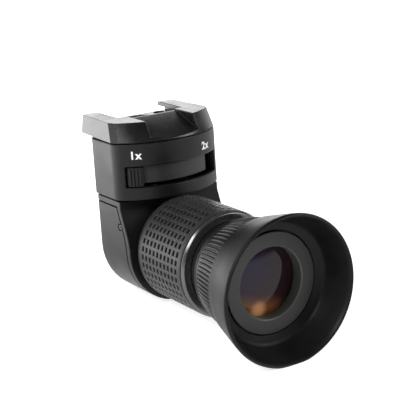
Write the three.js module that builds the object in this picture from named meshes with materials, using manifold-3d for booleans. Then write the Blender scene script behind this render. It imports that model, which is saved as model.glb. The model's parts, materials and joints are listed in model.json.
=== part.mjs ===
// Right-angle viewfinder attachment with a 1x / 2x magnification selector.
// Millimetres. The model is drawn in its optical frame: the origin is where the upright optical axis
// (Z) meets the eyepiece axis (Y), +X is to the right seen from the eye, and -Y points to the eye.
// At the end it is tipped back so that it stands on its elbow and the rim of its eyecup.
import * as THREE from 'three';
import { ConvexGeometry } from 'three/addons/geometries/ConvexGeometry.js';
import { mergeVertices } from 'three/addons/utils/BufferGeometryUtils.js';
import Module from 'manifold-3d';

const wasm = await Module();
wasm.setup();

const GAP = 0.3;
const FINE = 40;
const COARSE = 24;
const degrees = (angle) => angle * Math.PI / 180;

// Head: the D-shaped box that holds the magnification changer.
const HEAD_HALF_WIDTH = 18.0;
const HEAD_ARC_RADIUS = 24.6;
const HEAD_ARC_CENTRE_Y = 2.6;
const HEAD_CORNER = 2.2;
const HEAD_FLAT_END_Y = -0.5;
const HEAD_BACK_HALF_WIDTH = 11.3;
const HEAD_BACK_Y = 11.0;
const HEAD_BOTTOM_Z = 16.5;
const HEAD_TOP_Z = 33.7;
const HEAD_WALL = 1.7;
const HEAD_FLOOR = 1.8;

// Selector: the knob slides in an arc slot and turns a cam barrel about the upright axis.
const SLOT_BOTTOM_Z = 20.4;
const SLOT_TOP_Z = 26.8;
const SLOT_HALF_ANGLE = degrees(39.8);
const SELECTOR_END_ANGLE = degrees(36.4);
const SELECTOR_TRAVEL = 2 * SELECTOR_END_ANGLE;
const KNOB_HALF_ANGLE = degrees(6.1);
const KNOB_FACE_RADIUS = 22.4;
const KNOB_BACK_RADIUS = 21.15;
const LEVER_BOTTOM_Z = 20.6;
const LEVER_TOP_Z = 21.0;
const BARREL_INNER = 7.25;
const BARREL_OUTER = 8.5;
const CAM_LIFT = 2.5;
const CAM_PIN_Z = 27.5;
const CAM_PIN_RADIUS = 0.5;
const CAM_SLOT_HALF = 0.85;

// Mount: two hook rails with T-slots, joined by a floor with the light opening.
const MOUNT_TOP_Z = 39.7;
const MOUNT_BASE_Z = HEAD_TOP_Z + GAP;
const MOUNT_BACK_Y = 8.2;
const MOUNT_CORNER = 1.5;
const MOUNT_FRONT_LEAN = 3.0;
const MOUNT_SIDE_LEAN = 0.8;
const RAIL_INNER_X = 10.9;
const STOP_INNER_X = 8.15;
const STOP_BACK_Y = -6.8;
const CHANNEL_FLOOR_Z = 36.7;
const GROOVE_TOP_Z = 38.3;
const GROOVE_X = 13.4;
const MOUNT_SCREW_X = 9.6;
const MOUNT_SCREW_Y = [-4.6, 5.2];
const WINDOW_RADIUS = 6.7;

// Elbow: the prism housing.
const ELBOW_HALF_WIDTH = 17.5;
const ELBOW_TOP_Z = 16.0;
const ELBOW_FRONT_Y = -18.5;
const ELBOW_BACK_Y = 10.6;
const ELBOW_BACK_HALF_WIDTH = 10.9;
const ELBOW_BACK_RADIUS = 14.0;
const ELBOW_FLAT_Z = -16.7;
const ELBOW_WALL = 1.6;
const HEEL_RADIUS = 9.0;
const HEEL_CENTRE = [2.5, 1.6, -4.5];
const COVER_SETBACK = 2.3;
const COVER_TOP_Z = 13.9;
const COVER_SCREW_Y = -13.3;
const COVER_SCREW_Z = 8.0;
const PRISM_LEG = 7.2;
const PRISM_HALF_WIDTH = 7.5;

// Tube, dioptre ring, eyepiece and eyecup: all round about the Y axis.
const GRIP_REAR_Y = -20.7;
const GRIP_FRONT_Y = -44.6;
const GRIP_RADIUS = 16.1;
const TRIM_FRONT_Y = -45.9;
const TRIM_FRONT_RADIUS = 15.4;
const CUP_RING_REAR_Y = -50.4;
const CUP_RING_REAR_RADIUS = 14.8;
const CUP_REAR_Y = -62.5;
const CUP_REAR_RADIUS = 18.2;
const SURROUND_FRONT_Y = -66.6;
const SURROUND_OUTER = 14.6;
const SURROUND_INNER = 10.35;
const RIM_Y = -76.2;
const RIM_RADIUS = 21.6;
const RIM_FLAT_Z = -20.9;
const TUBE_INNER = 10.6;
const TUBE_OUTER = 11.8;
const SLEEVE_INNER = TUBE_OUTER + GAP;
const SLEEVE_OUTER = 13.0;

// Helpers: closed geometries, always wound so that their faces point out.
function closed(geometry) {
  const bare = geometry.clone();
  for (const name of Object.keys(bare.attributes)) {
    if (name !== 'position') {
      bare.deleteAttribute(name);
    }
  }
  const merged = mergeVertices(bare, 1e-4);
  const position = merged.attributes.position;
  const kept = [];
  let volume = 0;
  const corner = [new THREE.Vector3(), new THREE.Vector3(), new THREE.Vector3()];
  for (let i = 0; i < merged.index.count; i += 3) {
    const triangle = [0, 1, 2].map((k) => merged.index.getX(i + k));
    if (new Set(triangle).size < 3) {
      continue;
    }
    kept.push(triangle);
    corner.forEach((point, k) => point.fromBufferAttribute(position, triangle[k]));
    volume += corner[0].dot(corner[1].clone().cross(corner[2]));
  }
  if (volume < 0) {
    kept.forEach((triangle) => triangle.reverse());
  }
  merged.setIndex(kept.flat());
  return merged;
}

function solid(geometry) {
  const body = closed(geometry);
  return new wasm.Manifold(new wasm.Mesh({
    numProp: 3,
    vertProperties: new Float32Array(body.attributes.position.array),
    triVerts: new Uint32Array(body.index.array),
  }));
}

function surface(manifold) {
  const mesh = manifold.getMesh();
  const geometry = new THREE.BufferGeometry();
  geometry.setAttribute('position', new THREE.BufferAttribute(new Float32Array(mesh.vertProperties), 3));
  geometry.setIndex(new THREE.BufferAttribute(new Uint32Array(mesh.triVerts), 1));
  return geometry;
}

function pointsOf(geometry) {
  const position = geometry.attributes.position;
  return Array.from({ length: position.count }, (_, i) => new THREE.Vector3().fromBufferAttribute(position, i));
}

function polygon(points) {
  return new THREE.Shape(points.map(([a, b]) => new THREE.Vector2(a, b)));
}

function extrude(shape, depth, segments = 14) {
  return new THREE.ExtrudeGeometry(shape, { depth, bevelEnabled: false, curveSegments: segments });
}

function extrudeZ(shape, z0, z1, segments) {
  return extrude(shape, z1 - z0, segments).translate(0, 0, z0);
}

// The shape's axes are X and Z; it runs from y0 to y1.
function extrudeY(shape, y0, y1, segments) {
  return extrude(shape, y1 - y0, segments).rotateX(Math.PI / 2).translate(0, y1, 0);
}

// The shape's axes are Y and Z; it runs from x0 to x1.
function extrudeX(shape, x0, x1, segments) {
  const turn = new THREE.Matrix4().makeBasis(
    new THREE.Vector3(0, 1, 0), new THREE.Vector3(0, 0, 1), new THREE.Vector3(1, 0, 0));
  return extrude(shape, x1 - x0, segments).applyMatrix4(turn).translate(x0, 0, 0);
}

function box(x0, x1, y0, y1, z0, z1) {
  return new THREE.BoxGeometry(x1 - x0, y1 - y0, z1 - z0)
    .translate((x0 + x1) / 2, (y0 + y1) / 2, (z0 + z1) / 2);
}

// A closed outline of [radius, y] points turned about the Y axis.
function turnedY(points, segments = FINE) {
  const outline = points.map(([radius, y]) => new THREE.Vector2(radius, y));
  if (points.every(([radius]) => radius > 0)) {
    outline.push(outline[0].clone());
  }
  return new THREE.LatheGeometry(outline, segments);
}

// A closed outline of [radius, z] points turned about the Z axis.
function turnedZ(points, segments = FINE) {
  return turnedY(points, segments).rotateX(Math.PI / 2);
}

function tubeY(inner, outer, y0, y1, segments) {
  return turnedY([[inner, y0], [outer, y0], [outer, y1], [inner, y1]], segments);
}

function tubeZ(inner, outer, z0, z1, segments) {
  return turnedZ([[inner, z0], [outer, z0], [outer, z1], [inner, z1]], segments);
}

function rodZ(radius, z0, z1, x = 0, y = 0, segments = COARSE) {
  return new THREE.CylinderGeometry(radius, radius, z1 - z0, segments)
    .rotateX(Math.PI / 2).translate(x, y, (z0 + z1) / 2);
}

function rodX(radius, x0, x1, y, z, segments = COARSE) {
  return new THREE.CylinderGeometry(radius, radius, x1 - x0, segments)
    .rotateZ(Math.PI / 2).translate((x0 + x1) / 2, y, z);
}

// The part of a ring between two radii, seen from above; angle 0 is towards the eye.
function sector(inner, outer, from, to, centreY = 0) {
  const shape = new THREE.Shape();
  shape.absarc(0, centreY, outer, from - Math.PI / 2, to - Math.PI / 2, false);
  shape.absarc(0, centreY, inner, to - Math.PI / 2, from - Math.PI / 2, true);
  return shape;
}

// A lens turned about Y, with its two faces bulging by sagA (at yA) and sagB (at yB).
function lensY(radius, yA, yB, sagA, sagB, segments = COARSE) {
  const steps = 2;
  const faceA = [];
  const faceB = [];
  for (let i = 0; i <= steps; i += 1) {
    const part = i / steps;
    faceA.push([radius * part, yA + sagA * (1 - part * part)]);
    faceB.push([radius * (1 - part), yB + sagB * (1 - (1 - part) * (1 - part))]);
  }
  const outline = [...faceA, ...faceB].map(([r, y]) => new THREE.Vector2(Math.max(r, 0), y));
  return new THREE.LatheGeometry(outline, segments);
}

// A solid between two outlines with the same number of [x, y] points, at two heights.
function loftZ(lower, upper, z0, z1) {
  const count = lower.length;
  const vertices = [
    ...lower.flatMap(([x, y]) => [x, y, z0]),
    ...upper.flatMap(([x, y]) => [x, y, z1]),
  ];
  const index = [];
  for (let i = 0; i < count; i += 1) {
    const next = (i + 1) % count;
    index.push(i, next, count + next, i, count + next, count + i);
  }
  const caps = (points) => THREE.ShapeUtils.triangulateShape(
    points.map(([x, y]) => new THREE.Vector2(x, y)), []);
  caps(lower).forEach(([a, b, c]) => index.push(c, b, a));
  caps(upper).forEach(([a, b, c]) => index.push(count + a, count + b, count + c));
  const geometry = new THREE.BufferGeometry();
  geometry.setAttribute('position', new THREE.Float32BufferAttribute(vertices, 3));
  geometry.setIndex(index);
  return geometry;
}

// Materials
function finish(color, roughness, metalness = 0) {
  return new THREE.MeshStandardMaterial({ color, roughness, metalness });
}

const satinBlack = finish(0x1c1c1e, 0.45);
const glossBlack = finish(0x161617, 0.25);
const blackRubber = finish(0x202022, 0.8);
const matteGray = finish(0x3a3a3c, 0.7);
const glass = finish(0x3c3050, 0.05);
const blackMetal = finish(0x18181a, 0.5, 0.6);
const steel = finish(0x9a9a9c, 0.35, 1);
const brass = finish(0xb08d4a, 0.35, 1);

const model = new THREE.Group();

function add(name, shape, material) {
  const geometry = shape instanceof THREE.BufferGeometry ? closed(shape) : surface(shape);
  const mesh = new THREE.Mesh(geometry, material);
  mesh.name = name;
  model.add(mesh);
}

// A countersunk screw standing on Z: its head's top is at headZ, its shank ends at tipZ.
function screwZ(x, y, headZ, tipZ, headRadius, shankRadius) {
  const down = Math.sign(tipZ - headZ);
  const outline = [
    [0, headZ],
    [headRadius, headZ],
    [headRadius, headZ + down * 0.35],
    [shankRadius, headZ + down * 0.9],
    [shankRadius, tipZ],
    [0, tipZ],
  ];
  return turnedZ(outline, 14).translate(x, y, 0);
}

// Head housing: a moulded box, open at the top, with the selector slot in its curved front.
function headPlan(inset) {
  const halfWidth = HEAD_HALF_WIDTH - inset;
  const radius = HEAD_ARC_RADIUS - inset;
  const corner = Math.asin(halfWidth / radius);
  const cornerY = HEAD_ARC_CENTRE_Y - radius * Math.cos(corner);
  const arcEnd = corner - HEAD_CORNER / radius;
  const back = HEAD_BACK_HALF_WIDTH - 0.55 * inset;
  const shape = new THREE.Shape();
  shape.absarc(0, HEAD_ARC_CENTRE_Y, radius, -Math.PI / 2 - arcEnd, -Math.PI / 2 + arcEnd, false);
  shape.quadraticCurveTo(halfWidth, cornerY, halfWidth, cornerY + HEAD_CORNER);
  shape.lineTo(halfWidth, HEAD_FLAT_END_Y);
  shape.lineTo(back, HEAD_BACK_Y - inset);
  shape.lineTo(-back, HEAD_BACK_Y - inset);
  shape.lineTo(-halfWidth, HEAD_FLAT_END_Y);
  shape.lineTo(-halfWidth, cornerY + HEAD_CORNER);
  shape.quadraticCurveTo(-halfWidth, cornerY, -radius * Math.sin(arcEnd),
    HEAD_ARC_CENTRE_Y - radius * Math.cos(arcEnd));
  return shape;
}

function makeHeadHousing() {
  let housing = solid(extrudeZ(headPlan(0), HEAD_BOTTOM_Z, HEAD_TOP_Z));
  const floorZ = HEAD_BOTTOM_Z + HEAD_FLOOR;
  housing = housing.subtract(solid(extrudeZ(headPlan(HEAD_WALL), floorZ, HEAD_TOP_Z + 1)));
  housing = housing.subtract(solid(rodZ(7.6, HEAD_BOTTOM_Z - 1, floorZ + 1)));
  const slot = sector(HEAD_ARC_RADIUS - 3, HEAD_ARC_RADIUS + 2, -SLOT_HALF_ANGLE, SLOT_HALF_ANGLE,
    HEAD_ARC_CENTRE_Y);
  housing = housing.subtract(solid(extrudeZ(slot, SLOT_BOTTOM_Z, SLOT_TOP_Z)));
  const bossZ = 28.5;
  for (const side of [-1, 1]) {
    for (const y of MOUNT_SCREW_Y) {
      const x = side * MOUNT_SCREW_X;
      const wallX = side * (HEAD_HALF_WIDTH - HEAD_WALL / 2);
      const reach = y < 0 ? wallX : side * 13.8;
      housing = housing.add(solid(rodZ(1.8, bossZ, HEAD_TOP_Z, x, y, 16)));
      housing = housing.add(solid(box(Math.min(x, reach), Math.max(x, reach), y - 0.7, y + 0.7,
        bossZ, HEAD_TOP_Z)));
      housing = housing.subtract(solid(rodZ(1.1, bossZ + 1, HEAD_TOP_Z + 1, x, y, 14)));
    }
  }
  return housing;
}
add('head_housing', makeHeadHousing(), satinBlack);

// Mount frame: the glossy top moulding with its hook rails, stops, sloping front and floor.
function mountOutline(lean) {
  const halfWidth = HEAD_HALF_WIDTH - lean * MOUNT_SIDE_LEAN;
  const corner = Math.asin(halfWidth / HEAD_ARC_RADIUS);
  const cornerY = HEAD_ARC_CENTRE_Y - HEAD_ARC_RADIUS * Math.cos(corner) + lean * MOUNT_FRONT_LEAN;
  const arcEnd = corner - MOUNT_CORNER / HEAD_ARC_RADIUS;
  const steps = 14;
  const points = [[-halfWidth, cornerY + MOUNT_CORNER]];
  for (let i = 0; i <= steps; i += 1) {
    const angle = arcEnd * (2 * i / steps - 1);
    points.push([
      HEAD_ARC_RADIUS * Math.sin(angle),
      HEAD_ARC_CENTRE_Y - HEAD_ARC_RADIUS * Math.cos(angle) + lean * MOUNT_FRONT_LEAN,
    ]);
  }
  points.push([halfWidth, cornerY + MOUNT_CORNER]);
  points.push([halfWidth - 1.0, MOUNT_BACK_Y], [-(halfWidth - 1.0), MOUNT_BACK_Y]);
  return points;
}

function makeMountFrame() {
  const above = MOUNT_TOP_Z + 2;
  let frame = solid(loftZ(mountOutline(0), mountOutline(1), MOUNT_BASE_Z, MOUNT_TOP_Z));
  const rearFlange = solid(extrudeZ(headPlan(0), MOUNT_BASE_Z, MOUNT_BASE_Z + 1.6))
    .intersect(solid(box(-20, 20, MOUNT_BACK_Y - 1, 20, HEAD_TOP_Z, MOUNT_TOP_Z)));
  frame = frame.add(rearFlange);
  frame = frame.subtract(solid(box(-RAIL_INNER_X, RAIL_INNER_X, STOP_BACK_Y, 20,
    CHANNEL_FLOOR_Z, above)));
  frame = frame.subtract(solid(box(-GROOVE_X, GROOVE_X, STOP_BACK_Y, 20,
    CHANNEL_FLOOR_Z, GROOVE_TOP_Z)));
  const footZ = MOUNT_BASE_Z + 0.5;
  const crestZ = 39.2;
  const crestY = -8.2;
  const slope = polygon([
    [-30, above], [-30, footZ], [HEAD_ARC_CENTRE_Y - HEAD_ARC_RADIUS, footZ], [crestY, crestZ],
    [STOP_BACK_Y + 0.01, crestZ], [STOP_BACK_Y + 0.01, above],
  ]);
  frame = frame.subtract(solid(extrudeX(slope, -STOP_INNER_X, STOP_INNER_X)));
  frame = frame.subtract(solid(rodZ(WINDOW_RADIUS, MOUNT_BASE_Z - 1, CHANNEL_FLOOR_Z + 1, 0, 0, FINE)));
  for (const x of [-MOUNT_SCREW_X, MOUNT_SCREW_X]) {
    for (const y of MOUNT_SCREW_Y) {
      frame = frame.subtract(solid(rodZ(1.1, MOUNT_BASE_Z - 1, above, x, y, 14)));
      frame = frame.subtract(solid(rodZ(1.9, CHANNEL_FLOOR_Z - 1.4, CHANNEL_FLOOR_Z + 1.2, x, y, 14)));
    }
  }
  return frame;
}
add('mount_frame', makeMountFrame(), glossBlack);

let screwNumber = 0;
for (const x of [-MOUNT_SCREW_X, MOUNT_SCREW_X]) {
  for (const y of MOUNT_SCREW_Y) {
    screwNumber += 1;
    add(`mount_screw_${screwNumber}`,
      screwZ(x, y, CHANNEL_FLOOR_Z - 0.4, HEAD_TOP_Z - 3.6, 1.5, 0.75), steel);
  }
}

// Objective: a small achromat in a threaded cell, seated in the floor's light opening.
add('objective_cell', tubeZ(5.6, WINDOW_RADIUS - GAP, 33.3, 36.5, COARSE), blackMetal);
add('objective_lens', lensY(5.3, 34.2, 35.6, -0.5, 0.5).rotateX(Math.PI / 2), glass);

// Guide sleeve: fixed in the head, its straight slot stops the converter cell from turning.
const guideSleeve = solid(tubeZ(6.2, 6.9, 20.6, 33.0, COARSE))
  .subtract(solid(box(-CAM_SLOT_HALF, CAM_SLOT_HALF, -8, 0, CAM_PIN_Z - 1.4, 34)));
add('guide_sleeve', guideSleeve, blackMetal);

// Slot guide: the recessed band behind the selector slot, on a flange stuck behind the front wall.
const bandHalf = degrees(31);
const slotGuide = solid(extrudeZ(sector(22.0, 23.0, -bandHalf, bandHalf, HEAD_ARC_CENTRE_Y),
  SLOT_BOTTOM_Z + 0.95, SLOT_TOP_Z - GAP))
  .add(solid(extrudeZ(sector(21.4, 22.5, -bandHalf, bandHalf, HEAD_ARC_CENTRE_Y),
    SLOT_TOP_Z - 1.6, SLOT_TOP_Z + 2.6)));
add('slot_guide', slotGuide, satinBlack);

// Detent: a leaf spring on the head's floor lifts a ball against the selector lever.
const detentX = -15 * Math.sin(SELECTOR_END_ANGLE);
const detentY = -15 * Math.cos(SELECTOR_END_ANGLE);
add('detent_spring', box(detentX - 1.2, detentX + 5.5, detentY - 1, detentY + 1, 18.6, 18.9), steel);
add('detent_ball', new THREE.SphereGeometry(0.65, 12, 8).translate(detentX, detentY, 19.9), steel);

// Selector: lever, cam barrel with its helical slot, and the ribbed knob in the arc slot.
const leverArm = box(-2.0, 2.0, -KNOB_BACK_RADIUS + GAP, -8.0, LEVER_BOTTOM_Z, LEVER_TOP_Z)
  .rotateZ(-SELECTOR_END_ANGLE);
const selectorLever = solid(tubeZ(BARREL_INNER, 8.8, LEVER_BOTTOM_Z, LEVER_TOP_Z, COARSE))
  .add(solid(leverArm));
add('selector_lever', selectorLever, steel);

function makeCamBarrel() {
  let barrel = solid(tubeZ(BARREL_INNER, BARREL_OUTER, 21.8, 33.0, 36));
  const steps = 10;
  for (let i = 0; i < steps; i += 1) {
    const corners = [i / steps, (i + 1) / steps].flatMap((part) => {
      const pin = rodZ(CAM_SLOT_HALF, 6, 10, 0, 0, 12).rotateX(Math.PI / 2)
        .rotateZ(-part * SELECTOR_TRAVEL).translate(0, 0, CAM_PIN_Z + part * CAM_LIFT);
      return pointsOf(pin);
    });
    barrel = barrel.subtract(solid(new ConvexGeometry(corners)));
  }
  return barrel;
}
add('cam_barrel', makeCamBarrel(), blackMetal);

const knobShape = sector(KNOB_BACK_RADIUS, KNOB_FACE_RADIUS,
  -SELECTOR_END_ANGLE - KNOB_HALF_ANGLE, -SELECTOR_END_ANGLE + KNOB_HALF_ANGLE);
add('selector_knob', extrudeZ(knobShape, SLOT_BOTTOM_Z + GAP, SLOT_TOP_Z - GAP, 6), satinBlack);

// Converter: a negative lens in a cell that the cam lifts for 2x.
const converterCell = turnedZ([[4.2, 25.4], [5.9, 25.4], [5.9, 30.0], [5.2, 30.0], [5.2, 26.4],
  [4.2, 26.4]], COARSE);
add('converter_cell', converterCell, blackMetal);
add('converter_lens', lensY(4.9, 26.8, 29.4, 0.5, -0.5).rotateX(Math.PI / 2), glass);
add('cam_pin', rodZ(CAM_PIN_RADIUS, 6.2, 8.2, 0, 0, 12).rotateX(Math.PI / 2)
  .translate(0, 0, CAM_PIN_Z), steel);

// Elbow: its outer form is what its body and its outline, seen from the side, share.
function elbowFrontEdge(inset) {
  const y = ELBOW_FRONT_Y + inset;
  return [[y + 4.0, ELBOW_TOP_Z], [y + 4.0, 13.6], [y + 2.2, 9.0], [y + 0.6, 5.0], [y, 1.5]];
}

function elbowSide(inset) {
  const edge = elbowFrontEdge(inset);
  const backY = ELBOW_BACK_Y - inset;
  const bottomZ = ELBOW_FLAT_Z + inset;
  const radius = ELBOW_BACK_RADIUS;
  const shape = new THREE.Shape();
  shape.moveTo(edge[0][0], ELBOW_TOP_Z - inset);
  edge.slice(1).forEach(([y, z]) => shape.lineTo(y, z));
  shape.lineTo(edge[4][0], bottomZ);
  shape.lineTo(backY - radius, bottomZ);
  shape.absarc(backY - radius, bottomZ + radius, radius, -Math.PI / 2, 0, false);
  shape.lineTo(backY, ELBOW_TOP_Z - inset);
  return shape;
}

// The body of the elbow: a U-shaped section that narrows to two upright back edges and a round heel.
function elbowBody(inset) {
  const halfWidth = ELBOW_HALF_WIDTH - inset;
  const back = ELBOW_BACK_HALF_WIDTH - 0.55 * inset;
  const above = 30;
  const steps = 24;
  const corners = [];
  for (const y of [-30, HEAD_FLAT_END_Y]) {
    for (let i = 0; i <= steps; i += 1) {
      const angle = Math.PI * (1 + i / steps);
      corners.push(new THREE.Vector3(halfWidth * Math.cos(angle), y, halfWidth * Math.sin(angle)));
    }
    corners.push(new THREE.Vector3(halfWidth, y, above), new THREE.Vector3(-halfWidth, y, above));
  }
  for (const side of [-1, 1]) {
    const [x, y, z] = HEEL_CENTRE;
    const heel = new THREE.SphereGeometry(HEEL_RADIUS - inset, 20, 12).translate(side * x, y, z);
    corners.push(...pointsOf(heel));
    corners.push(new THREE.Vector3(side * back, ELBOW_BACK_Y - inset, above));
    corners.push(new THREE.Vector3(side * back, ELBOW_BACK_Y - inset, z + 6));
  }
  return new ConvexGeometry(corners);
}

function elbowForm(inset) {
  return solid(elbowBody(inset)).intersect(solid(extrudeX(elbowSide(inset), -25, 25, 8)));
}

const elbowShell = elbowForm(0).subtract(elbowForm(ELBOW_WALL));

function behindFrontEdge(setback, topZ) {
  const edge = elbowFrontEdge(setback).slice(1);
  return polygon([[edge[0][0], topZ], ...edge, [edge[3][0], -30], [30, -30], [30, topZ]]);
}

function makeElbowFrame() {
  const coverSpace = solid(extrudeX(behindFrontEdge(COVER_SETBACK - GAP, COVER_TOP_Z + GAP), -25, 25));
  const coverSkin = elbowForm(0).subtract(elbowForm(ELBOW_WALL + GAP)).intersect(coverSpace);
  let frame = elbowShell.subtract(coverSpace);
  for (const side of [-1, 1]) {
    const inner = side * 12.0;
    const outer = side * 15.2;
    const lug = box(Math.min(inner, outer), Math.max(inner, outer), ELBOW_FRONT_Y + ELBOW_WALL / 2,
      COVER_SCREW_Y + 1.9, COVER_SCREW_Z - 1.8, COVER_SCREW_Z + 1.8);
    frame = frame.add(solid(lug).intersect(elbowForm(0.5)).subtract(coverSkin));
    frame = frame.subtract(solid(rodX(1.0, Math.min(inner, side * 20), Math.max(inner, side * 20),
      COVER_SCREW_Y, COVER_SCREW_Z, 14)));
  }
  frame = frame.subtract(solid(new THREE.CylinderGeometry(12.1, 12.1, 10, FINE)
    .translate(0, ELBOW_FRONT_Y, 0)));
  return frame.subtract(solid(rodZ(7.6, ELBOW_TOP_Z - 5, ELBOW_TOP_Z + 1)));
}
add('elbow_frame', makeElbowFrame(), satinBlack);

const coverRegion = solid(extrudeX(behindFrontEdge(COVER_SETBACK, COVER_TOP_Z), -25, 25));
for (const [name, side] of [['cover_left', -1], ['cover_right', 1]]) {
  const half = solid(box(Math.min(0, side * 30) + (side > 0 ? GAP / 2 : 0),
    Math.max(0, side * 30) - (side < 0 ? GAP / 2 : 0), -30, 30, -30, 30));
  const screwHole = solid(rodX(1.1, Math.min(side * 10, side * 20), Math.max(side * 10, side * 20),
    COVER_SCREW_Y, COVER_SCREW_Z, 14));
  add(name, elbowShell.intersect(coverRegion).intersect(half).subtract(screwHole), satinBlack);
}

screwNumber = 0;
for (const side of [-1, 1]) {
  screwNumber += 1;
  const headX = ELBOW_HALF_WIDTH - 0.15;
  const screw = turnedZ([[0, headX], [0.8, headX], [0.8, headX - 0.85], [0.65, headX - 1.05],
    [0.65, 12.6], [0, 12.6]], 14)
    .rotateY(side * Math.PI / 2).translate(0, COVER_SCREW_Y, COVER_SCREW_Z);
  add(`cover_screw_${screwNumber}`, screw, steel);
}

// Swivel: a brass neck screwed under the elbow's top plate turns in the head's floor.
const NECK_SCREW_RADIUS = 9.4;
const flangeBackY = ELBOW_BACK_Y - ELBOW_WALL - GAP;
let neck = solid(turnedZ([[6.3, 12.6], [11.2, 12.6], [11.2, 14.2], [7.3, 14.2], [7.3, 20.2],
  [6.3, 20.2]], 36)).intersect(solid(box(-12, 12, -12, flangeBackY, 10, 22)));
screwNumber = 0;
for (const angle of [30, 150, 270].map(degrees)) {
  screwNumber += 1;
  const x = NECK_SCREW_RADIUS * Math.cos(angle);
  const y = NECK_SCREW_RADIUS * Math.sin(angle);
  neck = neck.subtract(solid(rodZ(0.9, 12, 15, x, y, 12)));
  add(`neck_screw_${screwNumber}`, turnedZ([[0, 11.3], [1.3, 11.3], [1.3, 12.3], [0.6, 12.3],
    [0.6, 14.3], [0, 14.3]], 12).translate(x, y, 0), steel);
}
add('swivel_neck', neck, brass);
add('swivel_retaining_ring', tubeZ(7.6, 8.6, 18.7, 20.2, COARSE), blackMetal);

// Prism: it turns the light from the upright axis to the eyepiece axis.
add('roof_prism', extrudeX(polygon([[-PRISM_LEG, PRISM_LEG], [-PRISM_LEG, -PRISM_LEG],
  [PRISM_LEG, PRISM_LEG]]), -PRISM_HALF_WIDTH, PRISM_HALF_WIDTH), glass);
const near = 0.4 * Math.SQRT2;
const far = 1.5 * Math.SQRT2;
const backPlate = polygon([
  [PRISM_LEG, PRISM_LEG - near], [-PRISM_LEG, -PRISM_LEG - near], [-PRISM_LEG, -PRISM_LEG - far],
  [PRISM_LEG, PRISM_LEG - far],
]);
const cheek = polygon([
  [-14.5, PRISM_LEG], [-14.5, 2], [-PRISM_LEG, -PRISM_LEG - far], [PRISM_LEG, PRISM_LEG - far],
  [PRISM_LEG, PRISM_LEG],
]);
const bracketInner = PRISM_HALF_WIDTH + GAP;
const prismBracket = solid(extrudeX(backPlate, -bracketInner - 0.5, bracketInner + 0.5))
  .add(solid(extrudeX(cheek, bracketInner, bracketInner + 1)))
  .add(solid(extrudeX(cheek, -bracketInner - 1, -bracketInner)));
add('prism_bracket', prismBracket, blackMetal);

// Inner tube: fixed in the elbow, with a smooth collar behind the grip and a guide slot on top.
const KEY_Y = -38;
const innerTube = solid(turnedY([[TUBE_INNER, -16.0], [TUBE_OUTER, -16.0], [TUBE_OUTER, -18.8],
  [15.2, -18.8], [15.2, -20.3], [TUBE_OUTER, -20.3], [TUBE_OUTER, -46.5], [TUBE_INNER, -46.5]]))
  .subtract(solid(box(-1.0, 1.0, KEY_Y - 3, KEY_Y + 3, 5, 15)));
add('inner_tube', innerTube, blackMetal);
add('relay_lens', lensY(10.2, -27.2, -24.8, -1.0, 1.0), glass);
add('relay_retainer', tubeY(8.9, 10.3, -30.2, -28.8, COARSE), blackMetal);
add('field_stop', tubeY(6.2, 10.3, -43.6, -43.0, COARSE), blackMetal);

// Dioptre ring: a metal ring with a patterned rubber sleeve and a polished front edge.
add('dioptre_ring', tubeY(SLEEVE_OUTER + GAP, 14.6, GRIP_FRONT_Y, GRIP_REAR_Y, FINE), blackMetal);
add('rubber_grip', tubeY(14.9, GRIP_RADIUS, GRIP_FRONT_Y, GRIP_REAR_Y, FINE), blackRubber);
add('trim_ring', turnedY([[SLEEVE_OUTER + GAP, GRIP_FRONT_Y - GAP],
  [GRIP_RADIUS - 0.1, GRIP_FRONT_Y - GAP], [TRIM_FRONT_RADIUS, TRIM_FRONT_Y],
  [SLEEVE_OUTER + GAP, TRIM_FRONT_Y]], FINE), blackMetal);

// Eyepiece: a barrel that slides on the inner tube, with two lenses held by spacer and surround.
const BARREL_FRONT_Y = SURROUND_FRONT_Y + 1.7;
const eyepieceBarrel = solid(turnedY([[SLEEVE_INNER, -30], [SLEEVE_OUTER, -30],
  [SLEEVE_OUTER, BARREL_FRONT_Y], [11.3, BARREL_FRONT_Y], [11.3, -50.0], [SLEEVE_INNER, -49.2]]))
  .subtract(solid(rodZ(0.9, 5, 15, 0, KEY_Y, 12)));
add('eyepiece_barrel', eyepieceBarrel, blackMetal);
add('guide_key', rodZ(0.6, 11.0, SLEEVE_OUTER - 0.1, 0, KEY_Y, 12), steel);
add('inner_eye_lens', lensY(11.0, -56.6, -53.4, -1.2, 0.6), glass);
add('lens_spacer', tubeY(10.0, 11.0, -59.4, -56.9, COARSE), blackMetal);
add('eye_lens', lensY(11.0, -62.4, -59.7, -1.3, 0), glass);
add('lens_surround', turnedY([[SURROUND_INNER, SURROUND_FRONT_Y], [SURROUND_OUTER, SURROUND_FRONT_Y],
  [SURROUND_OUTER, SURROUND_FRONT_Y + 1.4], [11.0, SURROUND_FRONT_Y + 1.4], [11.0, -62.7],
  [SURROUND_INNER, -62.7]]), matteGray);

// Eyecup: a fluted ring that turns on the barrel carries the flared rubber cup.
const CUP_SEAT = 15.6;
add('eyecup_ring', turnedY([[SLEEVE_OUTER + GAP, CUP_RING_REAR_Y],
  [CUP_RING_REAR_RADIUS, CUP_RING_REAR_Y], [17.0, CUP_REAR_Y + 0.9], [CUP_SEAT, CUP_REAR_Y + 0.6],
  [CUP_SEAT, BARREL_FRONT_Y + 0.3], [SLEEVE_OUTER + GAP, BARREL_FRONT_Y + 0.3]]), satinBlack);

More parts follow.
